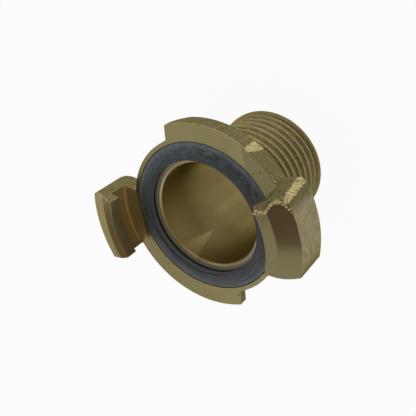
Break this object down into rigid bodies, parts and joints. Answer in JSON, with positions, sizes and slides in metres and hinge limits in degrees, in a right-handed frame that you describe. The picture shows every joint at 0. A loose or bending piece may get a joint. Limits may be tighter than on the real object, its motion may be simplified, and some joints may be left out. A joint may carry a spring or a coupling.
{
  "type": "quarter turn fire hose coupling",
  "caption": "Quarter turn hose coupling half in cast brass: claw hooks and ramped flange sectors round a lip gasket, with a ringed hose tail behind.",
  "frame": {"origin": "centre of the hose tail's end face, on the coupling's axis", "axes": "+Z along the axis towards the mouth; the two hooks lie on +X and -X"},
  "size_m": [0.086, 0.0712, 0.0634],
  "materials": {
    "brass": "cast and blasted, with machined front and bore",
    "rubber": "matt moulded rubber"
  },
  "bodies": {
    "root": {"coupling_body": "brass", "lip_gasket": "rubber"}
  },
  "joints": []
}
